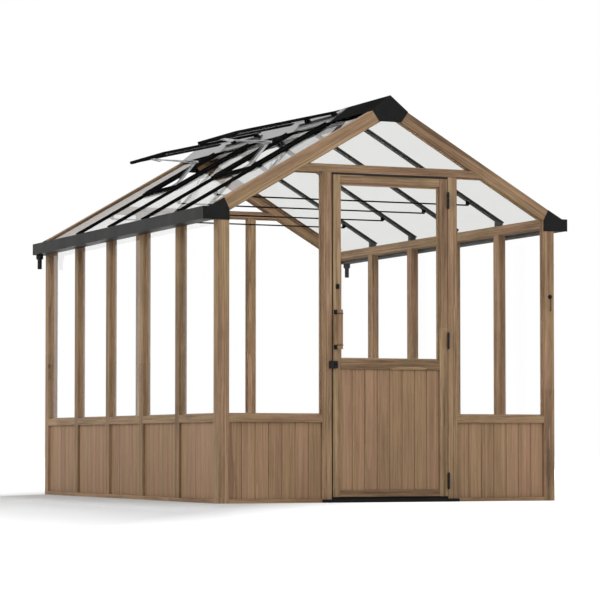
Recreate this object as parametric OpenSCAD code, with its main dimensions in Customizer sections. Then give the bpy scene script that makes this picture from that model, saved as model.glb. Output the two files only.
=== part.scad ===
// Cedar greenhouse with a boarded base, a glazed door, two hinged roof vents
// and a gutter along each eave.
// The origin is on the ground at the centre of the footprint. X runs across the
// door gable, Y runs from the door gable to the rear gable and Z is up.

/* [Footprint] */
// Width over the wall posts
house_w = 2360; // [2000:10:3000]
// Length over the gable posts
house_l = 3460; // [3000:10:4500]
// Number of bays along each side wall
side_bays = 5; // [4:1:6]

/* [Wall frame] */
// Width of a side wall post, along the wall
post_w = 72; // [50:1:90]
// Thickness of the side walls
wall_t = 56; // [52:1:64]
// Thickness of the gable frames
gable_t = 60; // [58:1:90]
// Front width of a corner post
corner_w = 76; // [68:1:90]
// Depth of the front leg of a corner post
corner_leg = 48; // [46:1:60]
// Width of a door post
door_post_w = 64; // [50:1:80]
// Height of the base rails
base_h = 26; // [18:1:50]
// Height of the underside of the sill rails
sill_z = 504; // [350:1:700]
// Height of a sill rail
sill_h = 49; // [35:1:70]
// Height of the underside of the door header
header_z = 2083; // [2060:1:2120]
// Height of the door header
header_h = 47; // [35:1:60]
// Depth of the eave beams' undersides below the roof slope at the outside of the wall
eave_drop = 91; // [85:1:100]
// Height of an eave beam on the inside
eave_h = 61; // [45:1:62]
// Gap at a butt joint between two pieces of one kind
joint_gap = 0.4; // [0.2:0.1:1]
// Diameter of an anchor hole in the base rails
anchor_d = 9; // [6:1:12]
// Distance of an anchor hole from the outside of the wall
anchor_inset = 42; // [40:1:44]

/* [Boards] */
// Thickness of a wall board
board_t = 16; // [12:1:19]
// Set back of the boards behind the outside of the wall
board_recess = 16; // [8:1:22]
// Depth of the V at each board joint
board_v = 4; // [2:1:6]
// Boards in a side bay
side_boards = 7; // [5:1:8]
// Boards in a gable bay beside the door
gable_boards = 7; // [5:1:9]
// Boards in the middle bay of the rear gable
rear_boards = 9; // [6:1:11]

/* [Glazing] */
// Thickness of the wall glass
glass_t = 4; // [3:1:6]
// Set back of the glass behind the outside of the wall
glass_recess = 20; // [12:1:24]
// Width of a glazing stop
stop_w = 8; // [6:1:12]
// Depth of a glazing stop
stop_d = 14; // [10:1:18]
// Clearance around a pane
glass_gap = 1; // [0.5:0.5:3]

/* [Roof] */
// Height of the roof slopes' meeting line above the header
gable_rise = 430; // [400:1:480]
// Roof pitch in degrees
roof_pitch = 30.2; // [29:0.1:32]
// Depth of a rafter, square to the slope
rafter_d = 82; // [60:1:95]
// Depth of a glazing bar
bar_d = 24; // [22:1:26]
// Width of a glazing bar
bar_w = 34; // [30:1:34]
// Width of the cap on a glazing bar
bar_cap_w = 34; // [26:1:44]
// Thickness of the cap on a glazing bar
bar_cap_t = 10; // [8:1:11]
// Thickness of the web and lips of the glazing bars
bar_web = 6; // [4:1:7]
// Thickness of a roof pane
pane_t = 6; // [4:1:8]
// Reach of the roof panes past the outside of the wall
pane_overhang = 22; // [10:1:40]
// Half width of the ridge bar at its top
ridge_half = 52; // [46:1:60]
// Half width of the ridge bar below the glazing bars
ridge_low_half = 36; // [30:1:40]
// Depth of the ridge bar below the roof slopes' meeting line
ridge_bar_drop = 66; // [58:1:100]
// Height of the ridge cap above the roof slopes' meeting line
cap_rise = 32; // [24:1:45]
// Half width of the ridge cap
cap_half = 126; // [110:1:150]
// Wall of the ridge cap and its end plates
cap_t = 3; // [2:0.5:4]
// Half width of the lower edge of a ridge end plate
cap_foot_half = 77; // [60:1:100]
// Height of a ridge end plate
cap_plate_h = 171; // [160:1:190]
// Reach of an eave bracket over the face of the corner post
bracket_in = 77; // [60:1:110]
// Drop of an eave bracket below the gutter
bracket_drop = 5; // [0:1:12]
// Height of an eave bracket's inner edge above the foot of the rafter
bracket_shoulder = 47; // [30:1:60]

/* [Tie bars] */
// Diameter of a tie bar
tie_d = 10; // [8:1:14]
// Half span of a tie bar between its lugs
tie_half = 898; // [860:1:920]
// Depth of a tie bar's middle below the glazing bars
tie_drop = 30; // [24:1:40]
// Length of a tie bar lug
tie_lug_l = 34; // [26:1:50]
// Thickness of a tie bar lug
tie_lug_t = 5; // [3:1:8]

/* [Gutters] */
// Width of a gutter
gutter_w = 100; // [80:1:120]
// Height of the outside of a gutter
gutter_h = 78; // [60:1:85]
// Drop of a gutter below the eave beams
gutter_drop = 20; // [10:1:40]
// Wall of a gutter
gutter_t = 3; // [2:0.5:4]
// Width of the rolled lip of a gutter
gutter_lip = 12; // [8:1:16]
// Outer diameter of a downpipe outlet
outlet_d = 32; // [26:1:50]
// Outer diameter of the flared top of an outlet
outlet_top_d = 52; // [52:1:70]
// Wall of a downpipe outlet
outlet_t = 3; // [2:0.5:4]
// Length of an outlet below the gutter
outlet_l = 107; // [80:1:150]
// Height of the flare of an outlet
outlet_flare = 30; // [20:1:40]
// Distance of an outlet from the end of the gutter
outlet_inset = 42; // [34:1:80]
// Distance of an outlet from the middle of the gutter, away from the wall
outlet_shift = 10; // [0:1:16]
// Rise of a gutter's end plate against the wall above its outer edge
gutter_end_rise = 18; // [0:1:24]

/* [Door] */
// Width of the door leaf
door_w = 804; // [760:1:810]
// Clear gap on the latch side of the door
door_gap = 10; // [6:1:14]
// Clear gap on the hinge side of the door
hinge_gap = 4; // [4:0.5:6]
// Thickness of the door leaf
door_t = 40; // [34:1:45]
// Underside of the door leaf
door_z = 34; // [30:1:45]
// Gap between the door leaf and the header
door_head_gap = 13; // [10:1:20]
// Width of the stile on the latch side
latch_stile = 48; // [40:1:70]
// Width of the stile on the hinge side
hinge_stile = 58; // [40:1:70]
// Height of the top rail of the door
door_head = 54; // [40:1:80]
// Underside of the middle rail of the door
door_mid_z = 840; // [700:1:1000]
// Height of the middle rail of the door
door_mid_h = 61; // [45:1:90]
// Height of the bottom rail of the door
door_foot = 44; // [40:1:90]
// Number of boards in the door
door_boards_n = 8; // [6:1:10]
// Thickness of a door board
door_board_t = 14; // [10:1:16]
// Set back of the door boards behind the front of the door
door_board_recess = 10; // [6:1:12]
// Set back of the door glass behind the front of the door
door_glass_recess = 10; // [8:1:16]
// Width of the beads round the door glass
bead_w = 12; // [8:1:18]
// Reach of a door stop into the opening
door_stop_w = 26; // [18:1:34]
// Clearance between the closed door and its stops
stop_clear = 1; // [0.5:0.5:3]
// Set back of the door seals behind the front of the frame
seal_recess = 4; // [2:1:10]
// Clearance between the door seals and the door
seal_clear = 2; // [1.5:0.5:3]

/* [Threshold] */
// Height of the threshold plate
threshold_h = 20; // [12:1:24]
// Reach of the threshold in front of the gable
threshold_out = 30; // [10:1:50]
// Height of the threshold's upstand under the door
threshold_lip = 30; // [25:1:30]
// Rise of the threshold's rear edge behind the foot of the door
threshold_rise = 12; // [6:1:20]

/* [Door hinges] */
// Height of a door hinge
hinge_h = 103; // [80:1:130]
// Outer diameter of a hinge knuckle
knuckle_d = 15; // [12:1:17]
// Diameter of a door hinge pin
hinge_pin_d = 8; // [6:1:9]
// Running clearance round every pivot pin, on the radius
pin_clear = 0.05; // [0.02:0.01:0.1]
// Thickness of a hinge leaf
leaf_t = 1.6; // [1.2:0.1:1.8]
// Reach of a hinge leaf into the gap
leaf_w = 34; // [24:1:38]
// Distance of the hinge pin in front of the door
hinge_out = 9; // [9:0.5:12]
// End gap between hinge knuckles
knuckle_gap = 0.3; // [0.2:0.1:1]
// Distance of the top hinge's middle from the top of the door
hinge_top_in = 138; // [100:1:250]
// Height of the centre hinge's middle
hinge_mid_z = 1030; // [950:1:1100]
// Distance of the bottom hinge's middle from the foot of the door
hinge_low_in = 99; // [80:1:250]

/* [Door furniture] */
// Height of the upper handle bracket
handle_top_z = 1199; // [1150:1:1250]
// Height of the lower handle bracket
handle_low_z = 977; // [930:1:1020]
// Distance of the handle from the latch edge of the door
handle_in = 19; // [15:1:24]
// Distance of the grip's centre line in front of the door
handle_out = 64; // [56:1:70]
// Diameter of the wooden grip
grip_d = 36; // [30:1:38]
// Length of the grip past each bracket
grip_end = 14; // [8:1:24]
// Width and height of a handle bracket's foot
handle_foot = [28, 28];
// Thickness of a handle bracket's foot
handle_foot_t = 8; // [5:1:12]
// Thickness of a handle bracket's strap and ring
handle_strap_t = 5; // [4:1:8]
// Wall of a handle bracket's ring
handle_ring = 3; // [2:0.5:5]
// Height of the latch body
latch_h = 47; // [36:1:60]
// Height of the middle of the latch
latch_z = 867; // [850:1:890]
// Depth of the latch body
latch_d = 20; // [18:1:26]
// Length of the latch body on the door
latch_l = 24; // [24:1:32]
// Length of the keeper on the post
keeper_l = 18; // [14:1:24]
// Play of the bolt in the keeper's socket, on the radius
keeper_play = 2.5; // [1:0.5:4]
// Clearance between the keeper and the edge of the door
keeper_clear = 2.5; // [2:0.5:4]
// Diameter of the latch bolt
bolt_d = 10; // [8:1:12]
// Travel of the latch bolt
bolt_travel = 10; // [8:1:10]
// Diameter of the latch bolt's thumb stud
bolt_stud_d = 6; // [5:1:7]

/* [Cabin hook] */
// Distance of the hook from the outside of the wall
hook_inset = 30; // [24:1:34]
// Height of the hook's pivot
hook_z = 1329; // [1250:1:1400]
// Distance of the hook's pivot in front of the post
hook_out = 13; // [12:1:16]
// Diameter of the hook's wall rose
hook_rose_d = 28; // [22:1:34]
// Diameter of the hook's shank
hook_d = 6; // [5:1:7]
// Length of the hook from its pivot to its tip
hook_l = 94; // [80:1:110]
// Diameter of the hook's pivot pin
hook_pin_d = 5; // [4:1:6]
// Height of the eye on the door
eye_z = 1361; // [1250:1:1400]
// Distance of the eye from the latch edge of the door
eye_inset = 30; // [24:1:36]
// Diameter of the ring of the door eye
eye_d = 18; // [16:1:22]
// Width and height of the plate of the door eye
eye_plate = [24, 34];

/* [Roof vents] */
// Side bays that hold a vent, counted from the door gable
vent_bays = [1, 3];
// Distance of the vent hinge line from the ridge
vent_hinge_x = 30; // [28:1:34]
// Height of the vent hinge line above the roof slopes' meeting line
vent_hinge_rise = 16; // [15:1:18]
// Opening angle of the vents at rest
vent_open = 17; // [10:0.5:20]
// Length of a vent from its hinge line to its free edge
vent_l = 766; // [760:1:780]
// Overlap of a vent on the glazing bars at each side
vent_lap = 10; // [6:1:14]
// Width of the bars of a vent
vent_rail_w = 22; // [16:1:24]
// Depth of the side bars of a vent below its hinge line
vent_side_d = 16; // [12:1:16]
// Depth of the free bar of a vent below its hinge line
vent_free_d = 20; // [16:1:20]
// Height of the vent bars above the hinge line
vent_top_d = 3; // [2:0.5:4]
// Outer diameter of a vent hinge knuckle
vent_knuckle_d = 12; // [10:1:12]
// Diameter of a vent hinge pin
vent_pin_d = 6; // [5:1:7]
// Length of a vent hinge knuckle
vent_knuckle_l = 60; // [40:1:90]
// Distance of a hinge from the middle of its vent
vent_hinge_at = 220; // [150:5:250]
// Clearance between a closed vent and its seat
vent_seat = 0.9; // [0.5:0.1:2]
// Distance from the hinge line to the top bar of a vent
vent_start = 10; // [9:0.5:12]
// Width of the top bar of a vent
vent_head_w = 30; // [24:1:36]
// Depth of a vent's bars where they pass over the ridge cap
vent_shallow = 4; // [3:0.5:5]
// Distance from the hinge line to the full depth of a vent's side bars
vent_deep_at = 70; // [66:1:90]
// Length of the bar below a vent opening, along the slope
sill_bar_w = 28; // [20:1:34]
// Reach of that bar past the free edge of the closed vent
sill_bar_past = 4; // [2:1:8]
// Height of that bar's underside above the undersides of the glazing bars
sill_bar_lift = 2; // [1:1:4]

/* [Vent openers] */
// Distance of an opener's base pivot up the slope from the bar below the opening
base_reach = 122; // [110:1:135]
// Depth of the base pivot below the roof slope
base_drop = 20; // [16:1:26]
// Distance of an opener's window pivot from the free edge of the vent
head_inset = 100; // [90:1:110]
// Depth of the window pivot below the vent's hinge line
head_drop = 42; // [38:1:46]
// Length of the lever from the base pivot to the knee
lever_l = 205; // [200:1:215]
// Length of the arm from the knee to the window pivot
arm_l = 259; // [250:1:270]
// Offset of the arm's legs above its pivots, which clears the folded lever
leg_lift = 1; // [0.5:0.5:2]
// Diameter of an opener's pivot pins
opener_pin_d = 7; // [6:1:9]
// Diameter of the knee rod
knee_d = 10; // [8:1:12]
// Half length of the knee rod
knee_half = 55; // [45:1:65]
// Half distance between the lever's two bars, to their outsides
lever_half = 20; // [18:1:24]
// Thickness of an opener's bars
lever_t = 4; // [3:1:5]
// Width of an opener's bars
lever_w = 16; // [13:1:20]
// Half width of the arm's boss at the window pivot
head_half = 8; // [6:1:10]
// Side clearance of the opener's moving pieces
opener_gap = 0.6; // [0.4:0.1:1.5]
// Diameter of the wax cylinder
cylinder_d = 26; // [20:1:30]
// Length of the wax cylinder
cylinder_l = 128; // [100:1:140]
// Distance of the cylinder from the base pivot
cylinder_start = 36; // [30:1:44]
// Thickness of the plates at the ends of the cylinder
end_plate_t = 6; // [4:1:8]

/* [Hidden] */

$fn = 48;
cedar = "#94785b";
board_brown = "#8d7258";
black = "#202224";
grey = "#3a3b3d";
steel = "#8f9294";
clear_glass = [0.8, 0.88, 0.88, 0.35];
pane_white = [0.86, 0.88, 0.88, 0.6];

half_w = house_w / 2;
half_l = house_l / 2;
bay_pitch = (house_l - post_w) / side_bays;
slope = tan(roof_pitch);
// The door's header carries the gable, and the eaves follow from the pitch.
roof_h = header_z + header_h + gable_rise;
eave_z = roof_h - slope * half_w - eave_drop;
gutter_z = eave_z - gutter_drop;
door_top = header_z - door_head_gap;
rafter_drop = rafter_d / cos(roof_pitch);
post_inner = half_w - corner_w;
door_post_in = (door_w + door_gap + hinge_gap) / 2;
door_post_out = door_post_in + door_post_w;
glass_low = sill_z + sill_h;
beam_top = eave_z + eave_h;
glass_back = glass_recess + glass_t;
door_left = -door_post_in + door_gap;
door_right = door_left + door_w;
door_front = -half_l;
pane_seat = bar_cap_t + pane_t;

// Height of the roof slope at a distance x from the ridge.
function roof_z(x) = roof_h - slope * abs(x);
// Height of the underside of a rafter at a distance x from the ridge.
function under_z(x) = roof_z(x) - rafter_drop;
// Distance from the ridge at which the underside of a rafter has height z.
function under_x(z) = (roof_h - rafter_drop - z) / slope;
// Height of the outside of the ridge cap at a distance x from the ridge.
cap_edge_z = roof_z(cap_half) + cap_t;
function cap_z(x) = roof_h + cap_rise
    - (roof_h + cap_rise - cap_edge_z) * abs(x) / cap_half;
// Middle of side wall post number i, counted from the door gable.
function post_y(i) = -half_l + post_w / 2 + i * bay_pitch;
// Middle of side bay number i.
function bay_y(i) = post_y(i) + bay_pitch / 2;
// Distance down the slope from the ridge to the outside of the wall.
eave_u = half_w / cos(roof_pitch);
// Start of the glazing bars down the slope, against the side of the ridge bar.
ridge_u = ridge_half / cos(roof_pitch);

// Block between two corners.
module block(low, high) { translate(low) cube(high - low); }

// Outline in X and Z, drawn out along Y from y0 to y1.
module slab_y(outline, y0, y1) {
    translate([0, y1, 0]) rotate([90, 0, 0]) linear_extrude(y1 - y0) polygon(outline);
}

// Round bar along Y.
module rod_y(x, z, d, y0, y1) {
    translate([x, y1, z]) rotate([90, 0, 0]) cylinder(d = d, h = y1 - y0);
}

// Children and their mirror image across the ridge.
module both_sides() {
    children();
    mirror([1, 0, 0]) children();
}

// Children and their mirror image at the other gable.
module both_ends() {
    children();
    mirror([0, 1, 0]) children();
}

// Frame of the right roof slope: X down the slope, Z out of it.
module on_slope() {
    translate([0, 0, roof_h]) rotate([0, roof_pitch, 0]) children();
}

// Frame of the left roof slope.
module on_left_slope() { mirror([1, 0, 0]) on_slope() children(); }

// Pitch of an open vent.
vent_tilt = roof_pitch - vent_open;

// Frame of an open vent: X from the hinge to the free edge, Z out of the vent.
module on_vent() {
    translate([-vent_hinge_x, 0, roof_h + vent_hinge_rise])
        mirror([1, 0, 0]) rotate([0, vent_tilt, 0]) children();
}

// Row of V-jointed boards along X, with their fronts at y = 0.
module board_row(length, height, count, thickness) {
    w = length / count;
    v = board_v;
    g = joint_gap / 2;
    for (i = [0 : count - 1]) translate([i * w, 0, 0]) linear_extrude(height)
        polygon([[g, v], [v, 0], [w - v, 0], [w - g, v], [w - g, thickness], [g, thickness]]);
}

/* Base and posts */

module base_rails() {
    color(cedar) {
        // Side rails, with the anchor holes in the two end bays.
        both_sides() difference() {
            block([half_w - wall_t, -half_l + post_w, 0], [half_w, half_l - post_w, base_h]);
            for (i = [0, side_bays - 1]) translate([half_w - anchor_inset, bay_y(i), -1])
                cylinder(d = anchor_d, h = base_h + 2);
        }
        // Door gable rails, one on each side of the door.
        both_sides() block([door_post_out, -half_l, 0], [post_inner, -half_l + wall_t, base_h]);
        // Rear gable rail, from corner to corner.
        block([-post_inner, half_l - wall_t, 0], [post_inner, half_l, base_h]);
    }
}

// Outline of a corner post from x0 to the outside, cut along the underside of the rafter.
function post_outline(x0) =
    [[x0, 0], [half_w, 0], [half_w, under_z(half_w)], [x0, under_z(x0)]];

// Each corner post has a front leg in the gable and a side leg in the side wall.
module corner_posts() {
    turn = -half_l + corner_leg;
    color(cedar) both_sides() both_ends() {
        slab_y(post_outline(post_inner), -half_l, turn);
        slab_y(post_outline(half_w - wall_t), turn, -half_l + post_w);
    }
}

module side_wall_posts() {
    color(cedar) both_sides() for (i = [1 : side_bays - 1])
        block([half_w - wall_t, post_y(i) - post_w / 2, base_h],
              [half_w, post_y(i) + post_w / 2, eave_z]);
}

// Two posts beside the door and two in line with them in the rear gable.
module gable_posts() {
    color(cedar) both_sides() {
        block([door_post_in, -half_l, 0], [door_post_out, -half_l + gable_t, header_z]);
        block([door_post_in, half_l - wall_t, base_h], [door_post_out, half_l, header_z]);
    }
}

module sill_rails() {
    color(cedar) {
        both_sides() for (i = [0 : side_bays - 1])
            block([half_w - wall_t, post_y(i) + post_w / 2, sill_z],
                  [half_w, post_y(i + 1) - post_w / 2, glass_low]);
        both_ends() both_sides() block([door_post_out, -half_l, sill_z],
                                       [post_inner, -half_l + wall_t, glass_low]);
        block([-door_post_in, half_l - wall_t, sill_z], [door_post_in, half_l, glass_low]);
    }
}

module headers() {
    color(cedar) both_ends() slab_y(
        [[-under_x(header_z), header_z], [under_x(header_z), header_z],
         [under_x(header_z + header_h), header_z + header_h],
         [-under_x(header_z + header_h), header_z + header_h]],
        -half_l, -half_l + gable_t);
}

module eave_beams() {
    // The corner posts and rafters stand at both ends of each beam.
    end_y = half_l - post_w;
    color(cedar) both_sides() slab_y(
        [[half_w - wall_t, eave_z], [half_w, eave_z],
         [half_w, beam_top - slope * wall_t], [half_w - wall_t, beam_top]],
        -end_y, end_y);
}

module rafters() {
    g = joint_gap / 2;
    color(cedar) both_ends() both_sides() slab_y(
        [[g, roof_z(g)], [half_w, roof_z(half_w)], [half_w, under_z(half_w)], [g, under_z(g)]],
        -half_l, -half_l + gable_t);
}

/* Boards */

module side_board_wall() {
    for (i = [0 : side_bays - 1])
        translate([half_w - board_recess, post_y(i) + post_w / 2, base_h]) rotate([0, 0, 90])
            board_row(bay_pitch - post_w, sill_z - base_h, side_boards, board_t);
}

module right_wall_boards() { color(board_brown) side_board_wall(); }

module left_wall_boards() { color(board_brown) mirror([1, 0, 0]) side_board_wall(); }

// Boards of the two gable bays beside the door or the rear middle bay.
module outer_gable_boards() {
    both_sides() translate([door_post_out, -half_l + board_recess, base_h])
        board_row(post_inner - door_post_out, sill_z - base_h, gable_boards, board_t);
}

module front_wall_boards() { color(board_brown) outer_gable_boards(); }

module rear_wall_boards() {
    color(board_brown) mirror([0, 1, 0]) {
        outer_gable_boards();
        translate([-door_post_in, -half_l + board_recess, base_h])
            board_row(2 * door_post_in, sill_z - base_h, rear_boards, board_t);
    }
}

/* Wall glazing */

module side_wall_glass() {
    g = glass_gap;
    color(clear_glass) both_sides() for (i = [0 : side_bays - 1])
        block([half_w - glass_back, post_y(i) + post_w / 2 + g, glass_low + g],
              [half_w - glass_recess, post_y(i + 1) - post_w / 2 - g, eave_z - g]);
}

// Outline of a gable bay beside the door, between its post, rafter and header,
// drawn in by a margin m.
function gable_bay(m) = let (
        x0 = door_post_out + m, x1 = post_inner - m,
        lift = m / cos(roof_pitch), top = header_z - m)
    [[x0, glass_low + m], [x1, glass_low + m], [x1, under_z(x1) - lift],
     [under_x(top + lift), top], [x0, top]];

// Outline of the gable triangle above the header, drawn in by a margin m.
function gable_top(m) = let (
        z0 = header_z + header_h + m, lift = m / cos(roof_pitch), x0 = under_x(z0 + lift))
    [[-x0, z0], [x0, z0], [0, under_z(0) - lift]];

module end_wall_glass() {
    y0 = -half_l + glass_recess;
    g = glass_gap;
    color(clear_glass) {
        both_ends() both_sides() slab_y(gable_bay(g), y0, y0 + glass_t);
        mirror([0, 1, 0]) block([-door_post_in + g, y0, glass_low + g],
                                [door_post_in - g, y0 + glass_t, header_z - g]);
    }
}

module gable_glass() {
    y0 = -half_l + glass_recess;
    color(clear_glass) both_ends() slab_y(gable_top(glass_gap), y0, y0 + glass_t);
}

// Four strips inside a rectangle in Y and Z, behind the glass of the right wall.
module side_bay_stops(y0, y1) {
    x1 = half_w - glass_back;
    x0 = x1 - stop_d;
    in = stop_w + joint_gap;
    for (y = [y0, y1 - stop_w]) block([x0, y, glass_low], [x1, y + stop_w, eave_z]);
    for (z = [glass_low, eave_z - stop_w]) block([x0, y0 + in, z], [x1, y1 - in, z + stop_w]);
}

// Strips behind the glass of the right bay beside the door.
module gable_bay_stops() {
    y0 = -half_l + glass_back;
    y1 = y0 + stop_d;
    x0 = door_post_out;
    x1 = post_inner;
    in = stop_w + joint_gap;
    tall = stop_w / cos(roof_pitch);
    low = header_z - stop_w;
    // Beside the door post, beside the corner post and on the sill.
    block([x0, y0, glass_low], [x0 + stop_w, y1, header_z]);
    slab_y([[x1 - stop_w, glass_low], [x1, glass_low], [x1, under_z(x1)],
            [x1 - stop_w, under_z(x1 - stop_w)]], y0, y1);
    block([x0 + in, y0, glass_low], [x1 - in, y1, glass_low + stop_w]);
    // Under the header, then under the rafter.
    slab_y([[x0 + in, header_z], [x0 + in, low], [under_x(low + tall), low],
            [under_x(header_z), header_z]], y0, y1);
    slab_y([[under_x(header_z) + joint_gap, header_z - joint_gap * slope],
            [under_x(low + tall) + joint_gap, low - joint_gap * slope],
            [x1 - in, under_z(x1 - in) - tall], [x1 - in, under_z(x1 - in)]], y0, y1);
}

// Strips behind the glass of a gable triangle.
module gable_top_stops() {
    y0 = -half_l + glass_back;
    y1 = y0 + stop_d;
    z0 = header_z + header_h;
    z1 = z0 + stop_w;
    g = joint_gap;
    tall = stop_w / cos(roof_pitch);
    slab_y([[-under_x(z0), z0], [under_x(z0), z0], [under_x(z1), z1], [-under_x(z1), z1]], y0, y1);
    both_sides() slab_y([[g, under_z(g)], [g, under_z(g) - tall],
        [under_x(z1 + g + tall), z1 + g], [under_x(z1 + g), z1 + g]], y0, y1);
}

module glazing_stops() {
    color(cedar) {
        both_sides() for (i = [0 : side_bays - 1])
            side_bay_stops(post_y(i) + post_w / 2, post_y(i + 1) - post_w / 2);
        both_ends() {
            both_sides() gable_bay_stops();
            gable_top_stops();
        }
        // Middle bay of the rear gable.
        mirror([0, 1, 0]) {
            y0 = -half_l + glass_back;
            both_sides() block([door_post_in - stop_w, y0, glass_low],
                               [door_post_in, y0 + stop_d, header_z]);
            for (z = [glass_low, header_z - stop_w])
                block([-door_post_in + stop_w + joint_gap, y0, z],
                      [door_post_in - stop_w - joint_gap, y0 + stop_d, z + stop_w]);
        }
    }
}

/* Roof */

module ridge_bar() {
    // The upper flanks are square to the slopes, so the glazing bars butt on them.
    low_x = ridge_half - bar_d * sin(roof_pitch);
    low_z = roof_z(ridge_half) - bar_d * cos(roof_pitch);
    foot_x = ridge_low_half;
    end_y = half_l - gable_t;
    color(black) slab_y(
        [[0, roof_h], [ridge_half, roof_z(ridge_half)], [low_x, low_z], [foot_x, low_z],
         [foot_x, roof_h - ridge_bar_drop], [-foot_x, roof_h - ridge_bar_drop],
         [-foot_x, low_z], [-low_x, low_z], [-ridge_half, roof_z(ridge_half)]], -end_y, end_y);
}

module ridge_cap() {
    lip = cap_t * 1.5;
    color(black) slab_y(
        [[0, roof_h + cap_rise], [cap_half, cap_edge_z], [cap_half, roof_z(cap_half)],
         [cap_half - lip, roof_z(cap_half - lip)], [cap_half - lip, cap_z(cap_half - lip) - cap_t],
         [0, roof_h + cap_rise - cap_t * 1.3],
         [-cap_half + lip, cap_z(cap_half - lip) - cap_t], [-cap_half + lip, roof_z(cap_half - lip)],
         [-cap_half, roof_z(cap_half)], [-cap_half, cap_edge_z]], -half_l, half_l);
}

module ridge_end_caps() {
    top = roof_h + cap_rise;
    foot = top - cap_plate_h;
    color(black) both_ends() slab_y(
        [[0, top], [cap_half, cap_edge_z], [cap_foot_half, foot], [-cap_foot_half, foot],
         [-cap_half, cap_edge_z]], -half_l - cap_t, -half_l);
}

module eave_brackets() {
    out = half_w + gutter_w;
    inner = half_w - bracket_in;
    color(black) both_ends() both_sides() slab_y(
        [[inner, gutter_z - bracket_drop], [inner, under_z(half_w) + bracket_shoulder],
         [half_w - rafter_d / 2, roof_z(half_w - rafter_d / 2)],
         [half_w + gutter_w * 0.6, gutter_z + gutter_h], [out, gutter_z + gutter_h],
         [out, gutter_z - bracket_drop + gutter_t]], -half_l - cap_t, -half_l);
}

// Gap between a glazing bar and the part that it is screwed against.
seat_gap = 0.05;

// Section of a glazing bar: a lower flange, a thin web and a cap over the panes.
module bar_section() {
    w = bar_w / 2;
    b = bar_web / 2;
    c = bar_cap_w / 2;
    polygon([[bar_d, -w], [bar_d, w], [pane_seat, w], [pane_seat, b], [bar_cap_t, b],
             [bar_cap_t, c], [0, c], [0, -c], [bar_cap_t, -c], [bar_cap_t, -b],
             [pane_seat, -b], [pane_seat, -w]]);
}

// Section drawn with X down into the roof, swept along the slope.
module down_slope(u0, u1) {
    translate([u0, 0, 0]) rotate([0, 90, 0]) linear_extrude(u1 - u0) children();
}

module slope_bars() {
    for (i = [1 : side_bays - 1]) translate([0, post_y(i), 0])
        down_slope(ridge_u + seat_gap, eave_u) bar_section();
}

module glazing_bars() {
    color(black) {
        both_sides() on_slope() slope_bars();
        // Feet between each bar and the eave beam.
        both_sides() for (i = [1 : side_bays - 1]) slab_y(
            [[half_w - wall_t, beam_top], [half_w, beam_top - slope * wall_t],
             [half_w, roof_z(half_w) - bar_d / cos(roof_pitch)],
             [half_w - wall_t, roof_z(half_w - wall_t) - bar_d / cos(roof_pitch)]],
            post_y(i) - bar_w / 2, post_y(i) + bar_w / 2);
    }
}

// Wooden strip along a gable rafter that carries the edge of the last pane.
module edge_section() {
    w = bar_w / 2;
    polygon([[bar_d, 0], [bar_d, w], [pane_seat, w], [pane_seat, bar_web / 2],
             [bar_cap_t, bar_web / 2], [bar_cap_t, bar_cap_w / 2], [0, bar_cap_w / 2], [0, 0]]);
}

module rafter_glazing_strips() {
    color(cedar) both_ends() both_sides() on_slope()
        translate([0, -half_l + gable_t + seat_gap, 0])
            down_slope(ridge_u + seat_gap, eave_u) edge_section();
}

// Pane of bay i between the webs of its bars, from u0 to u1 down the slope.
module roof_pane(i, u0, u1) {
    edge = bar_web / 2 + glass_gap;
    low = i == 0 ? -half_l + gable_t + edge : post_y(i) + edge;
    high = i == side_bays - 1 ? half_l - gable_t - edge : post_y(i + 1) - edge;
    block([u0, low, -pane_seat], [u1, high, -bar_cap_t]);
}

pane_end_u = (half_w + pane_overhang) / cos(roof_pitch);

module right_roof_panes() {
    color(pane_white) on_slope() for (i = [0 : side_bays - 1])
        roof_pane(i, ridge_u + glass_gap, pane_end_u);
}

module left_roof_panes() {
    color(pane_white) on_left_slope() for (i = [0 : side_bays - 1])
        roof_pane(i, len(search(i, vent_bays)) > 0 ? sill_bar_u + sill_bar_w : ridge_u + glass_gap,
                  pane_end_u);
}

/* Roof vents */

// Hinge line of the vents in the frame of the roof slope.
hinge_u = vent_hinge_x * cos(roof_pitch) - vent_hinge_rise * sin(roof_pitch);
hinge_w = vent_hinge_x * sin(roof_pitch) + vent_hinge_rise * cos(roof_pitch);
// Top end of the bar below a vent opening, down the slope.
sill_bar_u = hinge_u + vent_l - sill_bar_w + sill_bar_past;
vent_w = bay_pitch + 2 * vent_lap;

// Bar below the opening, and a strip on each side bar, for the bay at y.
module vent_curb() {
    w = bay_pitch / 2;
    low_y = w - bar_w / 2;
    top_y = w - bar_cap_w / 2 - glass_gap;
    seat_free = hinge_w - vent_free_d - vent_seat;
    seat_side = hinge_w - vent_side_d - vent_seat;
    low = -bar_d + sill_bar_lift;
    end_u = sill_bar_u + sill_bar_w;
    seam = 2;
    block([sill_bar_u, -low_y, low], [end_u, low_y, -pane_seat]);
    block([sill_bar_u, -top_y, -pane_seat], [end_u, top_y, seat_free]);
    // The side strips step down where the free bar of the closed vent lies over them.
    start_u = cap_half / cos(roof_pitch) + seam;
    step_u = hinge_u + vent_l - vent_rail_w - vent_seat;
    both_ends() slab_y([[start_u, 0], [start_u, seat_side], [step_u, seat_side],
        [step_u, seat_free], [end_u, seat_free], [end_u, 0]], w - bar_cap_w / 2, w - seam);
}

module vent_curbs() {
    color(black) on_left_slope() for (i = vent_bays) translate([0, bay_y(i), 0]) vent_curb();
}

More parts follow.
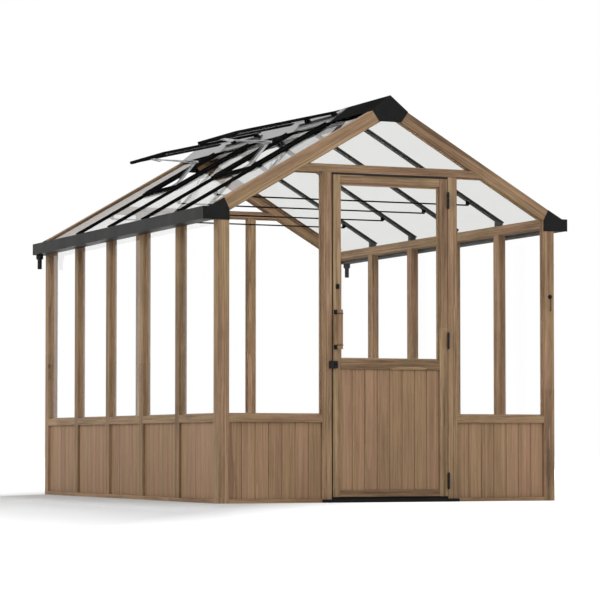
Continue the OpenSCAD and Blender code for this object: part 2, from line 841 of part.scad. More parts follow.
// Ears on the ridge cap that carry a hinge pin, beside a knuckle centred at y = 0.
module vent_hinge_pin() {
    x = vent_hinge_x;
    z = roof_h + vent_hinge_rise;
    ear = 10;
    foot = vent_knuckle_d / 2;
    half = vent_knuckle_l / 2 + knuckle_gap;
    rod_y(-x, z, vent_pin_d, -half - ear, half + ear);
    for (y0 = [-half - ear, half]) {
        rod_y(-x, z, vent_knuckle_d, y0, y0 + ear);
        slab_y([[-x, z], [-x + foot, z], [-x + foot, cap_z(x - foot)], [-x, cap_z(x)]],
               y0, y0 + ear);
    }
}

module vent_hinge_pins() {
    color(black) for (i = vent_bays, s = [-1, 1])
        translate([0, bay_y(i) + s * vent_hinge_at, 0]) vent_hinge_pin();
}

// Frame of one vent, in the frame of the vent, centred at y = 0.
module vent_rails() {
    w = vent_w / 2;
    r = vent_rail_w;
    low = -vent_shallow;
    head = vent_start + vent_head_w;
    // Side bars: shallow over the ridge cap and deep below it.
    both_ends() slab_y([[vent_start, low], [vent_start, vent_top_d], [vent_l, vent_top_d],
        [vent_l, -vent_side_d], [vent_deep_at, -vent_side_d], [head, low]], -w, -w + r);
    // Top bar and free bar.
    in = w - r - joint_gap;
    block([vent_start, -in, low], [head, in, vent_top_d]);
    block([vent_l - r, -in, -vent_free_d], [vent_l, in, vent_top_d]);
}

// Knuckle round the hinge line with its tab on the top bar.
module vent_knuckle() {
    half = vent_knuckle_l / 2;
    tab = 5;
    difference() {
        union() {
            rod_y(0, 0, vent_knuckle_d, -half, half);
            block([0, -half, -tab / 2], [vent_start - joint_gap, half, tab / 2]);
        }
        rod_y(0, 0, vent_pin_d + 2 * pin_clear, -half - 1, half + 1);
    }
}

module vent_frame() {
    vent_rails();
    for (s = [-1, 1]) translate([0, s * vent_hinge_at, 0]) vent_knuckle();
}

module vent_pane() {
    w = vent_w / 2 - vent_rail_w;
    top = 1;
    block([vent_start + vent_head_w, -w, top - pane_t], [vent_l - vent_rail_w, w, top]);
}

// Two cheeks and a pin that hang from the free bar and hold an opener's arm.
module vent_bracket() {
    p = head_in_vent;
    r = lever_w / 2;
    y0 = head_half + opener_gap;
    both_ends() slab_y(
        [[p[0] - r, p[1] - r / 2], [p[0] - r / 2, p[1] - r], [p[0] + r, p[1] - r],
         [vent_l - vent_rail_w, -vent_free_d], [vent_l - vent_rail_w, -vent_free_d / 2],
         [p[0] - r / 2, p[1] + r], [p[0] - r, p[1] + r / 2]], y0, y0 + lever_t);
    rod_y(p[0], p[1], opener_pin_d, -y0 - lever_t, y0 + lever_t);
}

// Children on the open vent of side bay i.
module on_bay_vent(i) { translate([0, bay_y(i), 0]) on_vent() children(); }

module front_vent_frame() { color(black) on_bay_vent(vent_bays[0]) vent_frame(); }

module front_vent_pane() { color(pane_white) on_bay_vent(vent_bays[0]) vent_pane(); }

module front_vent_bracket() { color(steel) on_bay_vent(vent_bays[0]) vent_bracket(); }

module rear_vent_frame() { color(black) on_bay_vent(vent_bays[1]) vent_frame(); }

module rear_vent_pane() { color(pane_white) on_bay_vent(vent_bays[1]) vent_pane(); }

module rear_vent_bracket() { color(steel) on_bay_vent(vent_bays[1]) vent_bracket(); }

/* Vent openers */

// Pivots of an opener as [distance from the ridge, height], with the vent open.
base_u = sill_bar_u - base_reach;
base_pivot = [base_u * cos(roof_pitch) - base_drop * sin(roof_pitch),
              roof_h - base_u * sin(roof_pitch) - base_drop * cos(roof_pitch)];
head_in_vent = [vent_l - head_inset, -head_drop];
head_pivot = [vent_hinge_x + head_in_vent[0] * cos(vent_tilt) + head_in_vent[1] * sin(vent_tilt),
              roof_h + vent_hinge_rise - head_in_vent[0] * sin(vent_tilt)
                  + head_in_vent[1] * cos(vent_tilt)];
// The knee lies on the ridge side, a lever's length and an arm's length from the pivots.
pivot_span = norm(head_pivot - base_pivot);
span_dir = (head_pivot - base_pivot) / pivot_span;
knee_along = (pivot_span * pivot_span + lever_l * lever_l - arm_l * arm_l) / (2 * pivot_span);
knee_off = sqrt(lever_l * lever_l - knee_along * knee_along);
knee = base_pivot + span_dir * knee_along + [-span_dir[1], span_dir[0]] * knee_off;

// Cheeks from the bar below the opening to the base pin, in the frame of the slope.
module opener_base_set() {
    y0 = lever_half + opener_gap;
    r = lever_w / 2;
    both_ends() block([base_u - r, y0, -base_drop - r], [sill_bar_u, y0 + lever_t, -base_drop + r]);
    rod_y(base_u, -base_drop, opener_pin_d, -y0 - lever_t, y0 + lever_t);
}

module opener_bases() {
    color(steel) on_left_slope() for (i = vent_bays)
        translate([0, bay_y(i), 0]) opener_base_set();
}

// Step from an opener's bars out to the round ends at their pivots.
bar_step = 1;

// Frame of a lever: the base pivot at the origin and the knee along X.
module on_lever() {
    d = knee - base_pivot;
    translate([-base_pivot[0], 0, base_pivot[1]]) rotate([0, -atan2(d[1], -d[0]), 0]) children();
}

// Lever: two bored bars, tied by a plate at each end of the cylinder and the knee rod.
module opener_lever() {
    y0 = lever_half - lever_t;
    plate_half = y0 + 1;
    r = lever_w / 2;
    color(steel) on_lever() {
        both_ends() difference() {
            union() {
                block([0, y0, -r + bar_step], [lever_l, lever_half, r - bar_step]);
                for (x = [0, lever_l]) rod_y(x, 0, lever_w, y0, lever_half);
            }
            rod_y(0, 0, opener_pin_d + 2 * pin_clear, y0 - 1, lever_half + 1);
        }
        rod_y(lever_l, 0, knee_d, -knee_half, knee_half);
        for (x = [cylinder_start - end_plate_t, cylinder_start + cylinder_l])
            block([x, -plate_half, -r + bar_step], [x + end_plate_t, plate_half, r - bar_step]);
    }
}

module opener_cylinder() {
    color(black) on_lever() translate([cylinder_start, 0, 0]) rotate([0, 90, 0])
        cylinder(d = cylinder_d, h = cylinder_l);
}

// Arm: a bored boss at the window pivot and two legs that spread to the knee.
module opener_arm() {
    d = knee - head_pivot;
    y0 = knee_half + opener_gap;
    // The legs spread between two straight ends, at the bracket and at the knee.
    bend = lever_w;
    leg_in = head_half - lever_t;
    color(steel) translate([-head_pivot[0], 0, head_pivot[1]]) rotate([0, -atan2(d[1], -d[0]), 0]) {
        difference() {
            union() {
                rod_y(0, 0, lever_w, -head_half, head_half);
                both_ends() translate([0, 0, leg_lift])
                    linear_extrude(lever_w / 2 - bar_step - leg_lift)
                    polygon([[0, leg_in], [0, head_half], [bend, head_half],
                             [arm_l - bend, y0 + lever_t], [arm_l, y0 + lever_t],
                             [arm_l, y0], [arm_l - bend, y0], [bend, leg_in]]);
            }
            rod_y(0, 0, opener_pin_d + 2 * pin_clear, -head_half - 1, head_half + 1);
        }
        both_ends() rod_y(arm_l, 0, lever_w, y0, y0 + lever_t);
    }
}

// Children in side bay i.
module in_bay(i) { translate([0, bay_y(i), 0]) children(); }

module front_opener_lever() { in_bay(vent_bays[0]) opener_lever(); }

module front_opener_cylinder() { in_bay(vent_bays[0]) opener_cylinder(); }

module front_opener_arm() { in_bay(vent_bays[0]) opener_arm(); }

module rear_opener_lever() { in_bay(vent_bays[1]) opener_lever(); }

module rear_opener_cylinder() { in_bay(vent_bays[1]) opener_cylinder(); }

module rear_opener_arm() { in_bay(vent_bays[1]) opener_arm(); }

/* Tie bars, gutters and outlets */

module tie_bars() {
    bar_under = bar_d / cos(roof_pitch);
    z = roof_z(tie_half) - bar_under - tie_drop;
    far = tie_half + tie_lug_l;
    color(black) for (i = [1 : side_bays - 1]) translate([0, post_y(i), 0]) {
        translate([-tie_half, 0, z]) rotate([0, 90, 0]) cylinder(d = tie_d, h = 2 * tie_half);
        both_sides() slab_y(
            [[tie_half, z - tie_d / 2], [tie_half, roof_z(tie_half) - bar_under],
             [far, roof_z(far) - bar_under], [far - tie_lug_l / 2, z - tie_d / 2]],
            -tie_lug_t / 2, tie_lug_t / 2);
    }
}

// Section of the right gutter in X and Z.
function gutter_outline() = let (
        x0 = half_w, x1 = half_w + gutter_w, t = gutter_t, z0 = gutter_z,
        z1 = gutter_z + gutter_h, back = roof_z(half_w) - pane_seat / cos(roof_pitch) - t)
    [[x0, z0], [x1, z0], [x1, z1], [x1 - gutter_lip, z1], [x1 - gutter_lip, z1 - t],
     [x1 - t, z1 - t], [x1 - t, z0 + t], [x0 + t, z0 + t], [x0 + t, back - slope * t],
     [x0, back]];

outlet_y = half_l - outlet_inset;
outlet_x = half_w + gutter_w / 2 + outlet_shift;

module gutters() {
    color(grey) both_sides() difference() {
        union() {
            slab_y(gutter_outline(), -half_l, half_l);
            // End closers.
            both_ends() slab_y(
                [[half_w, gutter_z], [half_w + gutter_w, gutter_z],
                 [half_w + gutter_w, gutter_z + gutter_h],
                 [half_w + gutter_w * 0.6, gutter_z + gutter_h],
                 [half_w, gutter_z + gutter_h + gutter_end_rise]],
                -half_l, -half_l + gutter_t);
        }
        translate([outlet_x, outlet_y, gutter_z - 1])
            cylinder(d = outlet_d - 2 * outlet_t, h = gutter_t + 2);
    }
}

module downpipe_outlets() {
    r = outlet_d / 2;
    top_r = outlet_top_d / 2;
    low = gutter_z - outlet_l;
    color(grey) both_sides() translate([outlet_x, outlet_y, 0]) rotate_extrude() polygon(
        [[r - outlet_t, low], [r, low], [r, gutter_z - outlet_flare - top_r + r],
         [top_r, gutter_z - outlet_flare], [top_r, gutter_z], [r - outlet_t, gutter_z]]);
}

/* Door opening */

module threshold() {
    front = -half_l - threshold_out;
    lip_recess = 2;
    lip_back = 14;
    color(black) {
        block([-door_post_in, front, 0], [door_post_in, -half_l + gable_t, threshold_h]);
        both_sides() block([door_post_in, front, 0], [door_post_out, -half_l, threshold_h]);
        block([-door_post_in, -half_l + lip_recess, threshold_h],
              [door_post_in, -half_l + door_t + lip_back, threshold_lip]);
        // Rear edge that the foot of the door closes against, between the door stops.
        block([-door_post_in + door_stop_w, -half_l + door_t + stop_clear, threshold_lip],
              [door_post_in - door_stop_w, -half_l + door_t + lip_back, door_z + threshold_rise]);
    }
}

module door_stops() {
    y0 = -half_l + door_t + stop_clear;
    y1 = -half_l + gable_t;
    in = door_post_in - door_stop_w;
    color(cedar) {
        both_sides() block([in, y0, threshold_lip], [door_post_in, y1, header_z]);
        block([-in + joint_gap, y0, header_z - door_stop_w], [in - joint_gap, y1, header_z]);
    }
}

// Black strips that fill the gap on the latch side and over the door.
module door_seals() {
    y0 = -half_l + seal_recess;
    y1 = -half_l + door_t;
    side = door_left - seal_clear;
    color(black) {
        block([-door_post_in, y0, threshold_lip], [side, y1, header_z]);
        block([side + joint_gap, y0, door_top + seal_clear], [door_post_in, y1, header_z]);
    }
}

hinge_x = door_right + hinge_gap / 2;
hinge_y = door_front - hinge_out;
hinge_zs = [door_z + hinge_low_in, hinge_mid_z, door_top - hinge_top_in];
knuckle_h = hinge_h / 3;
// Start of the full height of a hinge leaf behind the front of the door.
leaf_start = 2;

// Fixed knuckles above and below the middle one, their leaf on the post and the pin.
module frame_hinge_leaves() {
    x1 = door_post_in;
    x0 = x1 - leaf_t;
    back = door_front + leaf_w;
    fixed_l = knuckle_h - knuckle_gap;
    pin_end = 3;
    color(black) for (z = hinge_zs) {
        block([x0, door_front + leaf_start, z - hinge_h / 2], [x1, back, z + hinge_h / 2]);
        for (z0 = [z - hinge_h / 2, z + hinge_h / 2 - fixed_l]) {
            block([x0, hinge_y, z0], [x1, back, z0 + fixed_l]);
            translate([hinge_x, hinge_y, z0]) cylinder(d = knuckle_d, h = fixed_l);
        }
        translate([hinge_x, hinge_y, z - hinge_h / 2 - pin_end])
            cylinder(d = hinge_pin_d, h = hinge_h + 2 * pin_end);
    }
}

// Middle knuckle of each hinge and the leaf on the edge of the door.
module door_hinge_leaves() {
    x0 = door_right;
    x1 = x0 + leaf_t;
    back = door_front + leaf_w;
    moving_l = knuckle_h - knuckle_gap;
    color(black) for (z = hinge_zs) difference() {
        union() {
            translate([hinge_x, hinge_y, z - moving_l / 2]) cylinder(d = knuckle_d, h = moving_l);
            block([x0, hinge_y, z - moving_l / 2], [x1, back, z + moving_l / 2]);
            block([x0, door_front + leaf_start, z - hinge_h / 2], [x1, back, z + hinge_h / 2]);
        }
        translate([hinge_x, hinge_y, z - knuckle_h])
            cylinder(d = hinge_pin_d + 2 * pin_clear, h = 2 * knuckle_h);
    }
}

/* Door leaf */

panel_left = door_left + latch_stile;
panel_right = door_right - hinge_stile;
door_back = door_front + door_t;

module door_stiles() {
    color(cedar) {
        block([door_left, door_front, door_z], [panel_left, door_back, door_top]);
        block([panel_right, door_front, door_z], [door_right, door_back, door_top]);
    }
}

module door_rails() {
    rails = [[door_z, door_foot], [door_mid_z, door_mid_h], [door_top - door_head, door_head]];
    color(cedar) for (r = rails)
        block([panel_left, door_front, r[0]], [panel_right, door_back, r[0] + r[1]]);
}

module door_boards() {
    low = door_z + door_foot;
    color(board_brown) translate([panel_left, door_front + door_board_recess, low])
        board_row(panel_right - panel_left, door_mid_z - low, door_boards_n, door_board_t);
}

module door_glass() {
    z0 = door_mid_z + door_mid_h;
    z1 = door_top - door_head;
    y0 = door_front + door_glass_recess;
    g = glass_gap;
    color(clear_glass) block([panel_left + g, y0, z0 + g], [panel_right - g, y0 + glass_t, z1 - g]);
}

// Four beads behind the door glass.
module door_beads() {
    z0 = door_mid_z + door_mid_h;
    z1 = door_top - door_head;
    y0 = door_front + door_glass_recess + glass_t;
    in = bead_w + joint_gap;
    color(cedar) {
        for (x = [panel_left, panel_right - bead_w])
            block([x, y0, z0], [x + bead_w, y0 + bead_w, z1]);
        for (z = [z0, z1 - bead_w])
            block([panel_left + in, y0, z], [panel_right - in, y0 + bead_w, z + bead_w]);
    }
}

handle_x = door_left + handle_in;

// Foot on the stile, with a flat strap that ends in a ring round the grip.
module handle_brackets() {
    y = door_front - handle_out;
    t = handle_strap_t;
    foot_w = handle_foot[0] / 2;
    foot_h = handle_foot[1] / 2;
    strap_w = foot_w - handle_ring;
    // Each strap lies along the edge of its foot that faces the other foot.
    color(black) for (b = [[handle_low_z, 1], [handle_top_z, -1]]) {
        z = b[0] + b[1] * (foot_h - t / 2);
        difference() {
            union() {
                block([handle_x - foot_w, door_front - handle_foot_t, b[0] - foot_h],
                      [handle_x + foot_w, door_front, b[0] + foot_h]);
                block([handle_x - strap_w, y, z - t / 2], [handle_x + strap_w, door_front, z + t / 2]);
                translate([handle_x, y, z - t / 2]) cylinder(d = grip_d + 2 * handle_ring, h = t);
            }
            translate([handle_x, y, z - t]) cylinder(d = grip_d + 2 * pin_clear, h = 2 * t);
        }
    }
}

// Wooden grip with a small chamfer at each end.
module handle_grip() {
    low = handle_low_z - grip_end;
    high = handle_top_z + grip_end;
    r = grip_d / 2;
    c = 3;
    color(cedar) translate([handle_x, door_front - handle_out, 0]) rotate_extrude()
        polygon([[0, low], [r - c, low], [r, low + c], [r, high - c], [r - c, high], [0, high]]);
}

latch_x = door_left + 0.5;
latch_y = door_front - latch_d / 2;
latch_low = [latch_x, door_front - latch_d, latch_z - latch_h / 2];
stud_slot_x = latch_x + 3;
stud_side = 1;

// Body with the bore for the bolt and the slot in which the thumb stud slides.
module latch_body() {
    slot_h = bolt_stud_d + 2 * stud_side;
    slot_l = bolt_travel + bolt_stud_d + 2 * stud_side;
    color(black) difference() {
        translate(latch_low) cube([latch_l, latch_d, latch_h]);
        translate([latch_x - 1, latch_y, latch_z]) rotate([0, 90, 0])
            cylinder(d = bolt_d + 2 * pin_clear, h = latch_l + 2);
        block([stud_slot_x, door_front - latch_d - 1, latch_z - slot_h / 2],
              [stud_slot_x + slot_l, latch_y, latch_z + slot_h / 2]);
    }
}

module latch_bolt() {
    stud_x = stud_slot_x + stud_side + bolt_travel + bolt_stud_d / 2;
    bolt_tail = 2;
    stud_out = 9;
    color(black) {
        translate([latch_x, latch_y, latch_z]) rotate([0, 90, 0])
            cylinder(d = bolt_d, h = latch_l + bolt_tail);
        translate([stud_x, latch_y, latch_z]) rotate([90, 0, 0])
            cylinder(d = bolt_stud_d, h = latch_d / 2 + stud_out);
    }
}

// Keeper on the post, bridging the gap to just short of the sweep of the door.
module latch_keeper() {
    x0 = -door_post_in - keeper_l;
    x1 = door_left - keeper_clear;
    web = 6;
    color(black) difference() {
        block([x0, door_front - latch_d, latch_low[2]], [x1, door_front, latch_low[2] + latch_h]);
        translate([x0 + web, latch_y, latch_z]) rotate([0, 90, 0])
            cylinder(d = bolt_d + 2 * keeper_play, h = x1 - x0);
    }
}

/* Cabin hook */

hook_x = half_w - hook_inset;
hook_y = door_front - hook_out;

// Plate with two ears and the pivot pin.
module hook_rose() {
    rose_t = 4;
    ear_t = 3;
    ear_h = 8;
    side = 0.5;
    inner = hook_d / 2 + side;
    outer = inner + ear_t;
    color(black) {
        translate([hook_x, door_front, hook_z]) rotate([90, 0, 0])
            cylinder(d = hook_rose_d, h = rose_t);
        for (x0 = [-outer, inner]) block([hook_x + x0, hook_y - ear_h / 2, hook_z - ear_h / 2],
                                         [hook_x + x0 + ear_t, door_front, hook_z + ear_h / 2]);
        translate([hook_x - outer, hook_y, hook_z]) rotate([0, 90, 0])
            cylinder(d = hook_pin_d, h = 2 * outer);
    }
}

// Hook that hangs from its pivot, with its tip bent towards the wall.
module cabin_hook() {
    ring_d = hook_pin_d + 6;
    tip = 9;
    foot = hook_z - hook_l + hook_d / 2;
    color(black) difference() {
        union() {
            translate([hook_x - hook_d / 2, hook_y, hook_z]) rotate([0, 90, 0])
                cylinder(d = ring_d, h = hook_d);
            translate([hook_x, hook_y, foot]) cylinder(d = hook_d, h = hook_l - ring_d / 2);
            translate([hook_x, hook_y, foot]) sphere(d = hook_d);
            translate([hook_x, hook_y + tip, foot]) rotate([90, 0, 0]) cylinder(d = hook_d, h = tip);
        }
        translate([hook_x - hook_d, hook_y, hook_z]) rotate([0, 90, 0])
            cylinder(d = hook_pin_d + 2 * pin_clear, h = 2 * hook_d);
    }
}

// Eye on a plate, on the latch stile of the door.
module hook_eye() {
    wire = 4;
    neck_d = 5;
    neck = 4;
    w = eye_plate[0] / 2;
    h = eye_plate[1] / 2;
    plate_t = 3;
    cut = 5;
    eye_x = door_left + eye_inset;
    color(black) translate([eye_x, door_front, eye_z]) rotate([90, 0, 0]) {
        linear_extrude(plate_t) polygon([[cut - w, -h], [w - cut, -h], [w, cut - h], [w, h - cut],
                                         [w - cut, h], [cut - w, h], [-w, h - cut], [-w, cut - h]]);
        cylinder(d = neck_d, h = neck + wire / 2);
        translate([-wire / 2, 0, neck + eye_d / 2]) rotate([0, 90, 0]) difference() {
            cylinder(d = eye_d, h = wire);
            translate([0, 0, -1]) cylinder(d = eye_d - 2 * wire, h = wire + 2);
        }
    }
}

base_rails();
corner_posts();
side_wall_posts();
gable_posts();
sill_rails();
left_wall_boards();
right_wall_boards();
front_wall_boards();
rear_wall_boards();
side_wall_glass();
end_wall_glass();
gable_glass();
glazing_stops();
eave_beams();
rafters();
headers();
ridge_bar();
ridge_cap();
ridge_end_caps();
eave_brackets();
glazing_bars();
rafter_glazing_strips();
left_roof_panes();
right_roof_panes();
vent_curbs();
tie_bars();
gutters();
downpipe_outlets();
threshold();
door_stops();
door_seals();
frame_hinge_leaves();
latch_keeper();
hook_rose();
vent_hinge_pins();
opener_bases();
door_stiles();
door_rails();
door_boards();
door_glass();
door_beads();
door_hinge_leaves();
handle_brackets();
handle_grip();
latch_body();
hook_eye();
latch_bolt();
cabin_hook();
front_vent_frame();
front_vent_pane();
front_vent_bracket();
rear_vent_frame();
rear_vent_pane();
rear_vent_bracket();
front_opener_arm();
front_opener_lever();
front_opener_cylinder();
rear_opener_arm();
rear_opener_lever();
rear_opener_cylinder();
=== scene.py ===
import math

import bmesh
import bpy
import numpy as np
from mathutils import Matrix, Vector


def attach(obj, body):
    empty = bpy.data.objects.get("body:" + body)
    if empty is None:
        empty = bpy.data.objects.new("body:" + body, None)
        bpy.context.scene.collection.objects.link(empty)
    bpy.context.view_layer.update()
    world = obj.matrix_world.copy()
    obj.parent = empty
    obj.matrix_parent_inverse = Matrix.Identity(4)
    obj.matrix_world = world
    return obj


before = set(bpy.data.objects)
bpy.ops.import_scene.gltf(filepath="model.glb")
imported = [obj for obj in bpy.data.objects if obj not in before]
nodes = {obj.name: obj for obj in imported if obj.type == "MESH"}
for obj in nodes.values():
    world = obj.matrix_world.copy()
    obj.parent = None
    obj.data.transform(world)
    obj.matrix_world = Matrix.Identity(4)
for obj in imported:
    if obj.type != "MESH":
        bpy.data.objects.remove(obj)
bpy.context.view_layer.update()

# Linear colours of the finishes.
CEDAR_DARK = (0.095, 0.058, 0.031, 1)
CEDAR_MID = (0.222, 0.139, 0.076, 1)
CEDAR_LIGHT = (0.360, 0.241, 0.143, 1)
BOARD_DARK = (0.180, 0.109, 0.062, 1)
BOARD_MID = (0.268, 0.164, 0.095, 1)
BOARD_LIGHT = (0.345, 0.219, 0.131, 1)
STOP_DARK = (0.130, 0.083, 0.048, 1)
STOP_MID = (0.220, 0.142, 0.083, 1)
STOP_LIGHT = (0.300, 0.200, 0.122, 1)
GRIP_DARK = (0.130, 0.072, 0.040, 1)
GRIP_MID = (0.240, 0.145, 0.082, 1)
GRIP_LIGHT = (0.330, 0.210, 0.122, 1)
ROSY = (1.05, 0.98, 1.01, 1)
OLIVE = (0.98, 1.005, 0.91, 1)
KNOT = (0.055, 0.030, 0.017, 1)
BLACK_COAT = (0.0120, 0.0124, 0.0120, 1)
# Worn black coat, and the lighter black of the right slope's bars, which is painted light.
BLACK_COAT_WORN_AND_LIT = (0.0200, 0.0202, 0.0196, 1)
BLACK_MATT = (0.0070, 0.0072, 0.0072, 1)
BLACK_HARDWARE = (0.0060, 0.0062, 0.0064, 1)
BLACK_HARDWARE_WORN = (0.0130, 0.0132, 0.0134, 1)
GUTTER_GREY = (0.0110, 0.0110, 0.0106, 1)
GUTTER_WORN = (0.0170, 0.0170, 0.0164, 1)
# Pale grey on the right gutter's faces that look down or at the house: painted light.
GUTTER_PAINTED_LIGHT = (0.0820, 0.0840, 0.0780, 1)
RUBBER = (0.010, 0.010, 0.010, 1)
RUBBER_DUST = (0.026, 0.026, 0.027, 1)
STEEL_LIGHT = (0.46, 0.47, 0.48, 1)
STEEL_DARK = (0.27, 0.28, 0.29, 1)
CYLINDER_DARK = (0.020, 0.021, 0.023, 1)
CYLINDER_LIGHT = (0.055, 0.057, 0.060, 1)
GLASS_TINT = (0.997, 1.0, 0.998, 1)
SHEET_CLEAN = (0.70, 0.70, 0.695, 1)
SHEET_CLOUDY = (0.62, 0.615, 0.60, 1)
VENT_CLEAN = (0.97, 0.97, 0.965, 1)
VENT_CLOUDY = (0.94, 0.94, 0.93, 1)
HAZE_CLEAN = (0.772, 0.777, 0.760, 1)
HAZE_CLOUDY = (0.755, 0.760, 0.742, 1)
FLOOR_BOUNCE = (0.80, 0.80, 0.80, 1)
FLOOR_SHOWN = (0.47, 0.47, 0.47, 1)
WHITE = (1, 1, 1, 1)

# Share of the lamp light that glass and roof sheets let through.
GLASS_PASSES = 0.86
SHEET_PASSES = 0.80

# Sockets of a Mix node that mixes colours.
MIX_SHARE = 0
MIX_FIRST = 6
MIX_SECOND = 7
MIX_RESULT = 2

# Ranges that values are mapped from or to.
RISING = (0.0, 1.0)
FALLING = (1.0, 0.0)


def add(tree, kind, sockets=None, **settings):
    """A node of this kind, with its settings and with values or links for its sockets."""
    made = tree.nodes.new("ShaderNode" + kind)
    for name, value in settings.items():
        setattr(made, name, value)
    for name, value in (sockets or {}).items():
        socket = made.inputs[name]
        if isinstance(value, bpy.types.NodeSocket):
            tree.links.new(value, socket)
        else:
            socket.default_value = value
    return made


def new_material(name):
    """An empty material and its tree."""
    material = bpy.data.materials.new(name)
    material.use_nodes = True
    material.node_tree.nodes.clear()
    return material, material.node_tree


def scaled(tree, vector, scale):
    return add(tree, "VectorMath", {0: vector, 1: scale}, operation="MULTIPLY").outputs[0]


def noise(tree, vector, scale, detail=2.0, roughness=0.5, output="Fac"):
    """Noise over a vector stretched by scale, grey unless its colour is asked for."""
    made = add(tree, "TexNoise", {"Vector": scaled(tree, vector, scale), "Scale": 1.0,
                                  "Detail": detail, "Roughness": roughness})
    return made.outputs[output]


def even(scale):
    """The same scale along all three axes."""
    return (scale, scale, scale)


def math_node(tree, operation, first, second):
    return add(tree, "Math", {0: first, 1: second}, operation=operation).outputs[0]


def remap(tree, value, source, target):
    """The value moved from the range source to the range target, and kept inside it."""
    return add(tree, "MapRange", {"Value": value, "From Min": source[0], "From Max": source[1],
                                  "To Min": target[0], "To Max": target[1]}).outputs[0]


def mix_colour(tree, share, first, second, blend="MIX"):
    made = add(tree, "Mix", {MIX_SHARE: share, MIX_FIRST: first, MIX_SECOND: second},
               data_type="RGBA", blend_type=blend)
    return made.outputs[MIX_RESULT]


def ramp(tree, value, stops):
    """A colour ramp with (place, colour) stops."""
    made = add(tree, "ValToRGB", {"Fac": value})
    while len(made.color_ramp.elements) < len(stops):
        made.color_ramp.elements.new(0.5)
    for element, (place, colour) in zip(made.color_ramp.elements, stops):
        element.position = place
        element.color = colour
    return made.outputs["Color"]


def bump(tree, height, strength, distance):
    made = add(tree, "Bump", {"Height": height, "Strength": strength, "Distance": distance})
    return made.outputs["Normal"]


def own_place(tree):
    """Place on the object, in metres."""
    return add(tree, "TexCoord").outputs["Object"]


def axis_of(tree, vector, axis):
    return add(tree, "SeparateXYZ", {"Vector": vector}).outputs[axis]


def rays_that_look(tree, rays):
    """1 for camera rays and for rays that pass through glass."""
    return math_node(tree, "MAXIMUM", rays.outputs["Is Camera Ray"],
                     rays.outputs["Is Transmission Ray"])


def end_with(tree, shader):
    add(tree, "OutputMaterial", {"Surface": shader})


def end_clear(tree, shader, passes):
    """Ends a clear material, which passes this share of the lamp light."""
    clear = add(tree, "BsdfTransparent", {"Color": (*even(passes), 1)})
    rays = add(tree, "LightPath")
    mixed = add(tree, "MixShader", {0: rays.outputs["Is Shadow Ray"], 1: shader.outputs[0],
                                    2: clear.outputs[0]})
    end_with(tree, mixed.outputs[0])


# Scales of the wood's patterns, two across a piece and one along it.
WARP_SCALE = (7.0, 7.0, 1.3)
WARP_REACH = (0.016, 0.016, 0.0)
RING_STRETCH = (1.0, 1.0, 0.045)
RING_SCALE = 34.0
RING_WAVER = 0.6
RING_WAVER_SCALE = 1.2
STREAK_SCALE = (48.0, 48.0, 1.7)
FIBRE_SCALE = (520.0, 520.0, 11.0)
PATCH_SCALE = (9.0, 9.0, 1.9)
FLECK_SCALE = (110.0, 110.0, 9.0)
HUE_SCALE = (11.0, 11.0, 0.9)
KNOT_SCALE = (7.0, 7.0, 5.5)
LENGTH_SCALE = 1.1
# How far each pattern moves the wood's tone.
RING_SHARE = 0.16
STREAK_SHARE = 0.50
FIBRE_SHARE = 0.20
PATCH_SHARE = 0.26
FLECK_SHARE = 0.30
LENGTH_SHIFT = (-0.035, 0.035)
MIDDLE_TONE = 0.70
HUE_EDGES = (0.35, 0.65)
# A cell has a knot where its chance is above this value.
KNOT_CHANCE = 0.74
KNOT_EDGES = (0.05, 0.13)
KNOT_DEPTH = 0.72
FIBRE_EDGES = (0.25, 0.75)
WOOD_ROUGH = (0.56, 0.74)
WOOD_LEVEL = 0.28
WOOD_RELIEF = 0.30
WOOD_DEPTH = 0.0006
FIBRE_RELIEF = 0.7
RING_RELIEF = 0.3


